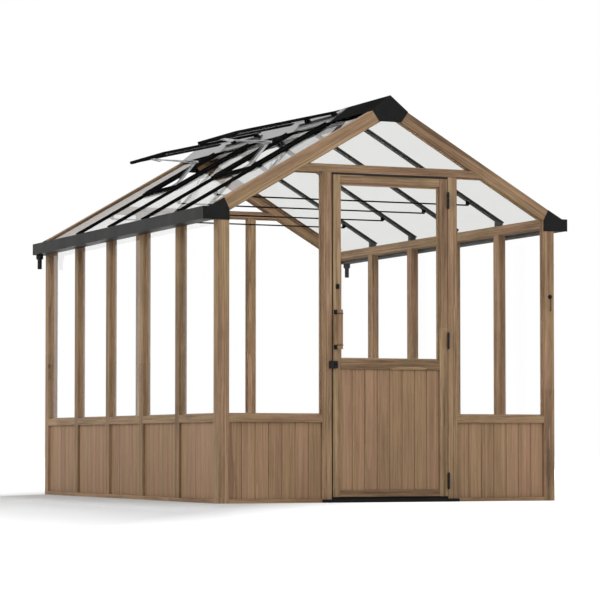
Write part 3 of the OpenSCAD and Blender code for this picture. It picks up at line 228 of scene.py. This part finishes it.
def wood(name, dark, mid, light, tone_span, spread):
    """Sawn cedar: rings, streaks and fibres along a piece, knots, and a tone for each piece."""
    material, tree = new_material(name)
    grain = add(tree, "Attribute", attribute_name="grain").outputs["Vector"]
    along = axis_of(tree, grain, "Z")
    tone = add(tree, "Attribute", attribute_name="tone").outputs["Fac"]
    warp = noise(tree, grain, WARP_SCALE, output="Color")
    drift = scaled(tree, warp, WARP_REACH)
    bent = add(tree, "VectorMath", {0: grain, 1: drift}, operation="ADD").outputs[0]
    rings = add(tree, "TexWave", {"Vector": scaled(tree, bent, RING_STRETCH),
                                  "Scale": RING_SCALE, "Distortion": RING_WAVER,
                                  "Detail": 2.0, "Detail Scale": RING_WAVER_SCALE},
                wave_type="RINGS", rings_direction="Z", wave_profile="SAW").outputs["Fac"]
    streak = noise(tree, grain, STREAK_SCALE, detail=4.0, roughness=0.6)
    fibre = noise(tree, grain, FIBRE_SCALE, detail=3.0, roughness=0.6)
    patch = noise(tree, grain, PATCH_SCALE)
    fleck = noise(tree, grain, FLECK_SCALE, detail=3.0, roughness=0.7)
    # Lengths joined end to end, each with its own tone.
    lengths = add(tree, "TexVoronoi", {"W": math_node(tree, "MULTIPLY", along, LENGTH_SCALE),
                                       "Scale": 1.0}, voronoi_dimensions="1D")
    length_tone = remap(tree, lengths.outputs["Color"], RISING, LENGTH_SHIFT)
    total = math_node(tree, "MULTIPLY", rings, RING_SHARE)
    for part, share in ((streak, STREAK_SHARE), (fibre, FIBRE_SHARE), (patch, PATCH_SHARE),
                        (fleck, FLECK_SHARE)):
        total = math_node(tree, "ADD", total, math_node(tree, "MULTIPLY", part, share))
    shift = remap(tree, tone, RISING, (-tone_span, tone_span))
    total = math_node(tree, "ADD", math_node(tree, "ADD", total, shift), length_tone)
    colour = ramp(tree, total, ((MIDDLE_TONE - spread, dark), (MIDDLE_TONE, mid),
                                (MIDDLE_TONE + spread, light)))
    hue = noise(tree, grain, HUE_SCALE)
    tint = mix_colour(tree, remap(tree, hue, HUE_EDGES, RISING), OLIVE, ROSY)
    colour = mix_colour(tree, 1.0, colour, tint, "MULTIPLY")
    # Knots: a few dark cores with a soft rim.
    cells = add(tree, "TexVoronoi", {"Vector": scaled(tree, bent, KNOT_SCALE), "Scale": 1.0,
                                     "Randomness": 1.0})
    rare = math_node(tree, "GREATER_THAN", cells.outputs["Color"], KNOT_CHANCE)
    core = remap(tree, cells.outputs["Distance"], KNOT_EDGES, FALLING)
    knot = math_node(tree, "MULTIPLY", rare, math_node(tree, "MULTIPLY", core, KNOT_DEPTH))
    colour = mix_colour(tree, knot, colour, KNOT)
    rough = remap(tree, fibre, FIBRE_EDGES, WOOD_ROUGH)
    height = math_node(tree, "ADD", math_node(tree, "MULTIPLY", fibre, FIBRE_RELIEF),
                       math_node(tree, "MULTIPLY", rings, RING_RELIEF))
    normal = bump(tree, height, WOOD_RELIEF, WOOD_DEPTH)
    shader = add(tree, "BsdfPrincipled", {"Base Color": colour, "Roughness": rough,
                                          "Specular IOR Level": WOOD_LEVEL,
                                          "Normal": normal})
    end_with(tree, shader.outputs[0])
    return material


COAT_PATCH_SCALE = 5.0
DUST_EDGES = (0.35, 0.75)
DUST_SHARE = (0.0, 0.75)
SPECK_EDGES = (0.55, 0.80)
SPECK_SHARE = (0.0, 0.35)
SHEEN_EDGES = (0.5, 1.1)
GRIT_IN_SHEEN = 0.5
GRIT_DEPTH = 0.0004


def coat_patches(tree, place):
    return noise(tree, place, even(COAT_PATCH_SCALE), detail=3.0, roughness=0.6)


def coated(name, base, worn, rough_range, grit, relief, level):
    """A painted, moulded or rubber surface: slow patches, fine grit and an uneven sheen."""
    material, tree = new_material(name)
    place = own_place(tree)
    patch = coat_patches(tree, place)
    fine = noise(tree, place, even(grit))
    dust = remap(tree, patch, DUST_EDGES, DUST_SHARE)
    speck = remap(tree, fine, SPECK_EDGES, SPECK_SHARE)
    colour = mix_colour(tree, math_node(tree, "MAXIMUM", dust, speck), base, worn)
    sheen = math_node(tree, "ADD", patch, math_node(tree, "MULTIPLY", fine, GRIT_IN_SHEEN))
    shader = add(tree, "BsdfPrincipled", {"Base Color": colour,
                                          "Roughness": remap(tree, sheen, SHEEN_EDGES,
                                                             rough_range),
                                          "Specular IOR Level": level,
                                          "Normal": bump(tree, fine, relief, GRIT_DEPTH)})
    end_with(tree, shader.outputs[0])
    return material


# The ridge's coat turns from weathered to smooth over this stretch of Y.
SHELTER_EDGES = (-1.09, -1.01)
SHELTER_ROUGH = (0.52, 0.16)
SHELTER_LEVEL = (0.0, 0.8)
SHELTER_UNEVEN = 0.08


def sheltered_coat(name):
    """Black coat that is still smooth under the vents and weathered in front of them."""
    material, tree = new_material(name)
    place = own_place(tree)
    smooth = remap(tree, axis_of(tree, place, "Y"), SHELTER_EDGES, RISING)
    patch = coat_patches(tree, place)
    colour = mix_colour(tree, remap(tree, patch, DUST_EDGES, DUST_SHARE), BLACK_COAT,
                        BLACK_COAT_WORN_AND_LIT)
    rough = math_node(tree, "ADD", remap(tree, smooth, RISING, SHELTER_ROUGH),
                      math_node(tree, "MULTIPLY", patch, SHELTER_UNEVEN))
    level = remap(tree, smooth, RISING, SHELTER_LEVEL)
    shader = add(tree, "BsdfPrincipled", {"Base Color": colour, "Roughness": rough,
                                          "Specular IOR Level": level})
    end_with(tree, shader.outputs[0])
    return material


LINE_SCALE = (60.0, 1400.0, 60.0)
STEEL_PATCH_SCALE = 26.0
STEEL_STOPS = (0.35, 0.62)
STEEL_EDGES = (0.3, 0.7)
LINE_RELIEF = 0.08
LINE_DEPTH = 0.0003


def metal(name, light, dark, rough_range):
    """Plated steel with fine lines along the piece."""
    material, tree = new_material(name)
    place = own_place(tree)
    lines = noise(tree, place, LINE_SCALE, detail=3.0)
    patch = noise(tree, place, even(STEEL_PATCH_SCALE), detail=3.0)
    share = math_node(tree, "MULTIPLY", math_node(tree, "ADD", lines, patch), 0.5)
    colour = ramp(tree, share, tuple(zip(STEEL_STOPS, (dark, light))))
    rough = remap(tree, share, STEEL_EDGES, rough_range)
    shader = add(tree, "BsdfPrincipled", {"Base Color": colour, "Metallic": 1.0,
                                          "Roughness": rough,
                                          "Normal": bump(tree, lines, LINE_RELIEF, LINE_DEPTH)})
    end_with(tree, shader.outputs[0])
    return material


FILM_SCALE = (9.0, 9.0, 2.5)
FILM_EDGES = (0.62, 0.90)
FILM_ROUGH = (0.0, 0.008)


def glass(name, index):
    """Clear float glass with this refractive index and a thin uneven film."""
    material, tree = new_material(name)
    film = noise(tree, own_place(tree), FILM_SCALE, detail=4.0, roughness=0.6)
    rough = remap(tree, film, FILM_EDGES, FILM_ROUGH)
    shader = add(tree, "BsdfPrincipled", {"Base Color": GLASS_TINT, "Roughness": rough,
                                          "Transmission Weight": 1.0, "IOR": index})
    end_clear(tree, shader, GLASS_PASSES)
    return material


CLOUD_SCALE = (2.2, 1.3, 2.2)
CLOUD_EDGES = (0.40, 0.70)


def roof_sheet(name, clean, cloudy, index):
    """Tinted plastic sheet with cloudy patches and this refractive index."""
    material, tree = new_material(name)
    cloud = noise(tree, own_place(tree), CLOUD_SCALE, detail=4.0, roughness=0.62)
    tint = mix_colour(tree, remap(tree, cloud, CLOUD_EDGES, RISING), clean, cloudy)
    shader = add(tree, "BsdfPrincipled", {"Base Color": tint, "Roughness": 0.0, "IOR": index,
                                          "Transmission Weight": 1.0})
    end_clear(tree, shader, SHEET_PASSES)
    return material


cedar = wood("cedar_frame", CEDAR_DARK, CEDAR_MID, CEDAR_LIGHT, tone_span=0.05, spread=0.175)
boards = wood("cedar_boards", BOARD_DARK, BOARD_MID, BOARD_LIGHT, tone_span=0.04, spread=0.20)
stops = wood("cedar_stops", STOP_DARK, STOP_MID, STOP_LIGHT, tone_span=0.05, spread=0.19)
grip = wood("oiled_grip", GRIP_DARK, GRIP_MID, GRIP_LIGHT, tone_span=0.02, spread=0.20)
black_coat = coated("black_coated_metal", BLACK_COAT, BLACK_COAT_WORN_AND_LIT,
                    rough_range=(0.46, 0.60), grit=900.0, relief=0.12, level=0.03)
matt_coat = coated("black_coated_metal_matt", BLACK_MATT, BLACK_COAT,
                   rough_range=(0.55, 0.70), grit=900.0, relief=0.12, level=0.0)
ridge_coat = sheltered_coat("black_coated_metal_ridge")
# Lighter black for the right slope's bars: painted light.
painted_lit_coat = coated("black_coated_metal_painted_lit", BLACK_COAT_WORN_AND_LIT, BLACK_COAT_WORN_AND_LIT,
                    rough_range=(0.40, 0.52), grit=900.0, relief=0.12, level=0.35)
hardware = coated("black_hardware", BLACK_HARDWARE, BLACK_HARDWARE_WORN,
                  rough_range=(0.34, 0.50), grit=1300.0, relief=0.12, level=0.18)
gutter_plastic = coated("dark_grey_plastic", GUTTER_GREY, GUTTER_WORN,
                        rough_range=(0.42, 0.58), grit=700.0, relief=0.06, level=0.12)
# Matt pale grey for the right gutter's faces that look down or at the house: painted light in
# place of their shade.
gutter_painted_light = coated("dark_grey_plastic_painted_light", GUTTER_PAINTED_LIGHT, GUTTER_PAINTED_LIGHT,
                     rough_range=(0.60, 0.75), grit=700.0, relief=0.06, level=0.0)
rubber = coated("seal_rubber", RUBBER, RUBBER_DUST,
                rough_range=(0.70, 0.88), grit=1100.0, relief=0.20, level=0.3)
steel = metal("steel", STEEL_LIGHT, STEEL_DARK, rough_range=(0.42, 0.26))
cylinder = coated("wax_cylinder", CYLINDER_DARK, CYLINDER_LIGHT,
                  rough_range=(0.22, 0.38), grit=1200.0, relief=0.05, level=0.6)
clear_glass = glass("clear_glass", index=1.06)
side_glass = glass("clear_glass_side", index=1.16)
roof_sheets = roof_sheet("roof_pane", SHEET_CLEAN, SHEET_CLOUDY, index=1.05)
vent_sheets = roof_sheet("roof_pane_vent", VENT_CLEAN, VENT_CLOUDY, index=1.10)
hazy_sheets = roof_sheet("roof_pane_haze", HAZE_CLEAN, HAZE_CLOUDY, index=1.02)

FINISHES = [
    (cedar, ["base_rails", "corner_posts", "side_wall_posts", "gable_posts", "sill_rails",
             "eave_beams", "rafters", "rafter_glazing_strips", "headers", "door_stiles",
             "door_rails"]),
    (boards, ["left_wall_boards", "right_wall_boards", "front_wall_boards",
              "rear_wall_boards", "door_boards"]),
    (stops, ["glazing_stops", "door_beads", "door_stops"]),
    (grip, ["handle_grip"]),
    (clear_glass, ["side_wall_glass", "end_wall_glass", "gable_glass", "door_glass"]),
    (roof_sheets, ["left_roof_panes"]),
    (vent_sheets, ["front_vent_pane", "rear_vent_pane"]),
    (hazy_sheets, ["right_roof_panes"]),
    (black_coat, ["ridge_cap", "ridge_end_caps", "eave_brackets", "threshold"]),
    (ridge_coat, ["ridge_bar"]),
    (matt_coat, ["glazing_bars", "vent_curbs", "tie_bars", "vent_hinge_pins",
                 "front_vent_frame", "rear_vent_frame"]),
    (gutter_plastic, ["gutters", "downpipe_outlets"]),
    (rubber, ["door_seals"]),
    (hardware, ["frame_hinge_leaves", "latch_keeper", "hook_rose", "door_hinge_leaves",
                "handle_brackets", "latch_body", "latch_bolt", "hook_eye", "cabin_hook"]),
    (steel, ["opener_bases", "front_vent_bracket", "rear_vent_bracket",
             "front_opener_arm", "front_opener_lever", "rear_opener_arm",
             "rear_opener_lever"]),
    (cylinder, ["front_opener_cylinder", "rear_opener_cylinder"]),
]
WOODEN = (cedar, boards, stops, grip)
# The photo's header and door rails are darker than its gable posts and sill rails.
TONES = {"headers": (0.0, 0.25), "door_rails": (0.0, 0.30), "gable_posts": (0.70, 1.0),
         "sill_rails": (0.55, 1.0)}
# Width of the rounding of edges, by finish.
ROUNDED = {cedar: 0.0016, boards: 0.0010, stops: 0.0010, black_coat: 0.0006,
           matt_coat: 0.0006, ridge_coat: 0.0006, gutter_plastic: 0.0006, hardware: 0.0004,
           steel: 0.0003}
ROUNDING_ANGLE = math.radians(40)
ROUNDING_STEPS = 2
SAME_PLACE = 1e-5
# The middle of the log's rings lies this far from the middle of a piece.
PITH_ASIDE = 0.04
PITH_BELOW = (0.03, 0.09)
# Pieces start anywhere within this length of log, either way.
LOG_REACH = 40.0
SEED_PER_LETTER = 31
SEED_PER_START = 7


def solids_of(mesh):
    """Number of the separate solid of each vertex, and the vertices' places."""
    places = np.array([v.co for v in mesh.vertices])
    keys = np.unique(np.round(places / SAME_PLACE).astype(int), axis=0,
                     return_inverse=True)[1].ravel()
    root = list(range(int(keys.max()) + 1))

    def top(i):
        while root[i] != i:
            root[i] = root[root[i]]
            i = root[i]
        return i

    for face in mesh.polygons:
        first = top(keys[face.vertices[0]])
        for v in face.vertices[1:]:
            root[top(keys[v])] = first
    tops = np.array([top(k) for k in keys])
    return np.unique(tops, return_inverse=True)[1].ravel(), places


def seed_of(name):
    """A seed worked out from a node's name."""
    return len(name) * SEED_PER_LETTER + ord(name[0]) * SEED_PER_START + ord(name[-3])


def write_grain(obj, seed, tones):
    """Writes where each vertex lies in its piece's own grain, and a tone for each piece."""
    chance = np.random.default_rng(seed)
    solid, places = solids_of(obj.data)
    grain = np.zeros_like(places)
    tone = np.zeros(len(places))
    for number in range(solid.max() + 1):
        mine = solid == number
        corners = np.unique(np.round(places[mine] / SAME_PLACE), axis=0) * SAME_PLACE
        middle = (corners.min(axis=0) + corners.max(axis=0)) / 2
        axes = np.linalg.svd(corners - middle, full_matrices=False)[2]
        local = (places[mine] - middle) @ axes.T
        pith = (chance.uniform(-PITH_ASIDE, PITH_ASIDE), chance.uniform(*PITH_BELOW))
        grain[mine, 0] = local[:, 1] + pith[0]
        grain[mine, 1] = local[:, 2] + pith[1]
        grain[mine, 2] = local[:, 0] + chance.uniform(-LOG_REACH, LOG_REACH)
        tone[mine] = chance.uniform(*tones)
    made = obj.data.attributes.new("grain", "FLOAT_VECTOR", "POINT")
    made.data.foreach_set("vector", grain.astype(np.float32).ravel())
    made = obj.data.attributes.new("tone", "FLOAT", "POINT")
    made.data.foreach_set("value", tone.astype(np.float32))


def round_edges(obj, width):
    weld = obj.modifiers.new("weld", "WELD")
    weld.merge_threshold = SAME_PLACE
    bevel = obj.modifiers.new("bevel", "BEVEL")
    bevel.width = width
    bevel.segments = ROUNDING_STEPS
    bevel.limit_method = "ANGLE"
    bevel.angle_limit = ROUNDING_ANGLE


for material, names in FINISHES:
    for name in names:
        node = nodes[name]
        node.data.materials.clear()
        node.data.materials.append(material)
        if material in WOODEN:
            write_grain(node, seed_of(name), TONES.get(name, RISING))
        if material in ROUNDED:
            round_edges(node, ROUNDED[material])


# A face looks against an axis where its normal's part along it is below this.
AGAINST_AXIS = -0.5


def give_faces(node, material, chosen):
    """Gives the chosen faces of a node their own finish."""
    mesh = nodes[node].data
    mesh.materials.append(material)
    for face in mesh.polygons:
        face.material_index = int(chosen(face))


def on_left(face):
    return face.center.x < 0


def on_right(face):
    return face.center.x > 0


def on_left_or_below(face):
    return face.center.x < 0 or face.normal.z < 0


def seen_from_inside(face):
    """Whether a face of the right gutter looks at the house or down."""
    return face.center.x > 0 and min(face.normal.x, face.normal.z) < AGAINST_AXIS


# The left wall's panes and the ridge cap's left flank mirror more of the studio. The right
# slope's bars get a lighter black and the right gutter's faces seen from below through the
# glass a pale grey, both painted light.
give_faces("side_wall_glass", side_glass, on_left)
give_faces("ridge_cap", ridge_coat, on_left_or_below)
give_faces("glazing_bars", painted_lit_coat, on_right)
give_faces("gutters", gutter_painted_light, seen_from_inside)

SCREW_SIDES = 24
SCREW_SUNK = 0.0004
# Outline of a screw's head, as shares of its radius and its height.
HEAD_OUTLINE = ((1.0, 0.45), (0.88, 0.80), (0.66, 1.0))
SOCKET_RADIUS = 0.44
SOCKET_FLOOR = 0.35
HEXAGON_SIDE = math.pi / 3
HEXAGON_HALF = math.pi / 6


def add_screw(mesh, place, outward, radius, height):
    """A pan-head screw with a hexagon socket, sunk a little into its surface."""
    turn = Vector(outward).to_track_quat("Z", "Y").to_matrix().to_4x4()
    stand = Matrix.Translation(place) @ turn
    rows = [(radius, -SCREW_SUNK, False)]
    rows += [(share * radius, rise * height, False) for share, rise in HEAD_OUTLINE]
    rows += [(SOCKET_RADIUS * radius, rise * height, True) for rise in (1.0, SOCKET_FLOOR)]
    rings = []
    for reach, rise, hexagon in rows:
        ring = []
        for side in range(SCREW_SIDES):
            angle = math.tau * side / SCREW_SIDES
            out = reach
            if hexagon:
                turned = angle % HEXAGON_SIDE - HEXAGON_HALF
                out = reach * math.cos(HEXAGON_HALF) / math.cos(turned)
            corner = Vector((out * math.cos(angle), out * math.sin(angle), rise))
            ring.append(mesh.verts.new(stand @ corner))
        rings.append(ring)
    for low, high in zip(rings, rings[1:]):
        for i in range(SCREW_SIDES):
            j = (i + 1) % SCREW_SIDES
            mesh.faces.new((low[i], low[j], high[j], high[i]))
    mesh.faces.new(rings[0][::-1])
    mesh.faces.new(rings[-1])


def screw_set(name, body, screws):
    """One piece with all the black screws that ride on a body."""
    mesh = bmesh.new()
    for place, outward, size in screws:
        add_screw(mesh, place, outward, *size)
    data = bpy.data.meshes.new(name)
    mesh.to_mesh(data)
    mesh.free()
    data.materials.append(hardware)
    piece = bpy.data.objects.new(name, data)
    bpy.context.scene.collection.objects.link(piece)
    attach(piece, body)


FORWARD = (0.0, -1.0, 0.0)
UPWARD = (0.0, 0.0, 1.0)
ROOF_PITCH = math.radians(30)
# Radius and height of the screws' heads.
PLATE_SCREW = (0.0048, 0.0024)
BAR_SCREW = (0.0045, 0.0024)
THRESHOLD_SCREW = (0.0046, 0.0010)
LATCH_SCREW = (0.0024, 0.0010)
ROSE_SCREW = (0.0018, 0.0010)
HANDLE_SCREW = (0.0026, 0.0014)
EYE_SCREW = (0.0020, 0.0010)
# Places on the eave bracket and the ridge end cap, as X and Z of the right half.
PLATE_FRONT = -1.733
PLATE_PLACES = ((1.142, 1.800), (1.142, 1.850), (1.250, 1.800), (0.050, 2.445), (0.095, 2.490))
# Lower end of a glazing bar as X and Z, and the bars' places as Y.
BAR_END = (1.160, 1.8849)
BAR_PLACES = (-1.0164, -0.3388, 0.3388, 1.0164)
# Top of the threshold as Y and Z, and the places on it as X.
THRESHOLD_TOP = (-1.745, 0.020)
THRESHOLD_PLACES = (-0.3, 0.0, 0.3)
# The latch and its keeper share a front and two heights.
LATCH_FRONT = -1.750
LATCH_HEIGHTS = (0.850, 0.884)
KEEPER_SIDE = -0.4143
LATCH_SIDE = -0.3865
ROSE_PLACE = (1.150, -1.734, 1.338)
# Feet of the handle.
FOOT_FRONT = -1.738
FOOT_HEIGHTS = (0.977, 1.199)
FOOT_SIDES = (-0.388, -0.372)
# Plate of the hook's eye.
EYE_FRONT = -1.733
EYE_SIDE = -0.369
EYE_HEIGHTS = (1.349, 1.373)

frame_screws = []
for side in (-1, 1):
    for x, z in PLATE_PLACES:
        frame_screws.append(((side * x, PLATE_FRONT, z), FORWARD, PLATE_SCREW))
    for y in BAR_PLACES:
        outward = (side * math.sin(ROOF_PITCH), 0.0, math.cos(ROOF_PITCH))
        frame_screws.append(((side * BAR_END[0], y, BAR_END[1]), outward, BAR_SCREW))
for x in THRESHOLD_PLACES:
    frame_screws.append(((x, *THRESHOLD_TOP), UPWARD, THRESHOLD_SCREW))
for z in LATCH_HEIGHTS:
    frame_screws.append(((KEEPER_SIDE, LATCH_FRONT, z), FORWARD, LATCH_SCREW))
frame_screws.append((ROSE_PLACE, FORWARD, ROSE_SCREW))
screw_set("frame_screws", "frame", frame_screws)

door_screws = []
for z in FOOT_HEIGHTS:
    for x in FOOT_SIDES:
        door_screws.append(((x, FOOT_FRONT, z), FORWARD, HANDLE_SCREW))
for z in LATCH_HEIGHTS:
    door_screws.append(((LATCH_SIDE, LATCH_FRONT, z), FORWARD, LATCH_SCREW))
for z in EYE_HEIGHTS:
    door_screws.append(((EYE_SIDE, EYE_FRONT, z), FORWARD, EYE_SCREW))
screw_set("door_screws", "door", door_screws)

# Studio: a white floor that keeps the shadow, soft lamps and a white background.
FLOOR_HALF = 60.0
FLOOR_LIFT = 0.75
FLOOR_FAR = 0.90
# The floor stays dim in a soft strip that runs from the left wall to the front left: a painted
# shadow.
STRIP_SIDE = (-0.86, 0.52, 0.0)
STRIP_RUN = -0.52
STRIP_FRONT = (-0.85, -0.10)
STRIP_REAR = (1.9, 3.0)
STRIP_FADE = (2.0, 6.8)
STRIP_LIFT = 0.13
WALL_X = -1.18
# Far from the object the glow grows, so that the floor runs into the background.
FAR_EDGES = (5.0, 11.0)
bpy.ops.mesh.primitive_plane_add(size=2 * FLOOR_HALF, location=(0, 0, 0))
floor = bpy.context.object
floor.name = "floor"
floor_material, tree = new_material("studio_floor")
rays = add(tree, "LightPath")
bounce = add(tree, "BsdfDiffuse", {"Color": FLOOR_BOUNCE})
shown = add(tree, "BsdfDiffuse", {"Color": FLOOR_SHOWN})
place = own_place(tree)
across = add(tree, "VectorMath", {0: place, 1: STRIP_SIDE},
             operation="DOT_PRODUCT").outputs["Value"]
from_wall = math_node(tree, "SUBTRACT", axis_of(tree, place, "X"), WALL_X)
run = math_node(tree, "DIVIDE", from_wall, STRIP_RUN)
front_edge = remap(tree, across, STRIP_FRONT, RISING)
rear_edge = remap(tree, across, STRIP_REAR, FALLING)
fade = remap(tree, run, STRIP_FADE, FALLING)
# How deep each place lies in the painted shadow; its glow drops there.
painted_shadow = math_node(tree, "MULTIPLY", math_node(tree, "MULTIPLY", front_edge, rear_edge), fade)
near = remap(tree, painted_shadow, RISING, (FLOOR_LIFT, STRIP_LIFT))
away = add(tree, "VectorMath", {0: place}, operation="LENGTH").outputs["Value"]
far = remap(tree, away, FAR_EDGES, (0.0, FLOOR_FAR))
glow = add(tree, "Emission", {"Color": WHITE,
                              "Strength": math_node(tree, "MAXIMUM", near, far)})
lifted = add(tree, "AddShader", {0: shown.outputs[0], 1: glow.outputs[0]})
surface = add(tree, "MixShader", {0: rays_that_look(tree, rays), 1: bounce.outputs[0],
                                  2: lifted.outputs[0]})
end_with(tree, surface.outputs[0])
floor.data.materials.append(floor_material)

# The background is white to look at and in mirrors, and lights the object less.
AMBIENT = 0.62
world = bpy.data.worlds.new("studio")
bpy.context.scene.world = world
world.use_nodes = True
tree = world.node_tree
tree.nodes.clear()
rays = add(tree, "LightPath")
seen = math_node(tree, "MAXIMUM", rays_that_look(tree, rays), rays.outputs["Is Glossy Ray"])
strength = remap(tree, seen, RISING, (AMBIENT, 1.0))
sky = add(tree, "Background", {"Color": WHITE, "Strength": strength})
add(tree, "OutputWorld", {"Surface": sky.outputs[0]})


def area_lamp(name, place, target, size, power):
    """A square lamp that faces its target."""
    data = bpy.data.lights.new(name, "AREA")
    data.shape = "SQUARE"
    data.size = size
    data.energy = power
    lamp = bpy.data.objects.new(name, data)
    bpy.context.scene.collection.objects.link(lamp)
    lamp.location = place
    aim = Vector(target) - Vector(place)
    lamp.rotation_euler = aim.to_track_quat("-Z", "Y").to_euler()


area_lamp("sun", place=(13.2, 15.6, 11.8), target=(0, 0, 0.5), size=6.0, power=6000)
area_lamp("left_fill", place=(-10.5, -4.5, 7.5), target=(0, 0, 1.0), size=5.0, power=520)
area_lamp("front_fill", place=(3.0, -10.0, 6.0), target=(0, 0, 1.2), size=6.0, power=260)

# Camera fitted to the straight edges of the photo.
CAMERA_PLACE = (-7.2385, -17.0848, 0.3559)
CAMERA_RISE = 0.0389
CAMERA_TURN = -0.4066
SENSOR_WIDTH = 36.0
FOCAL_LENGTH = 160.27
SHIFT_UP = 0.07
NEAREST = 0.1
FARTHEST = 200.0
camera_data = bpy.data.cameras.new("camera")
camera_data.sensor_width = SENSOR_WIDTH
camera_data.lens = FOCAL_LENGTH
camera_data.shift_y = SHIFT_UP
camera_data.clip_start = NEAREST
camera_data.clip_end = FARTHEST
camera = bpy.data.objects.new("camera", camera_data)
bpy.context.scene.collection.objects.link(camera)
camera.location = CAMERA_PLACE
camera.rotation_euler = (math.pi / 2 + CAMERA_RISE, 0.0, CAMERA_TURN)
bpy.context.scene.camera = camera
bpy.context.scene.view_settings.view_transform = "Standard"
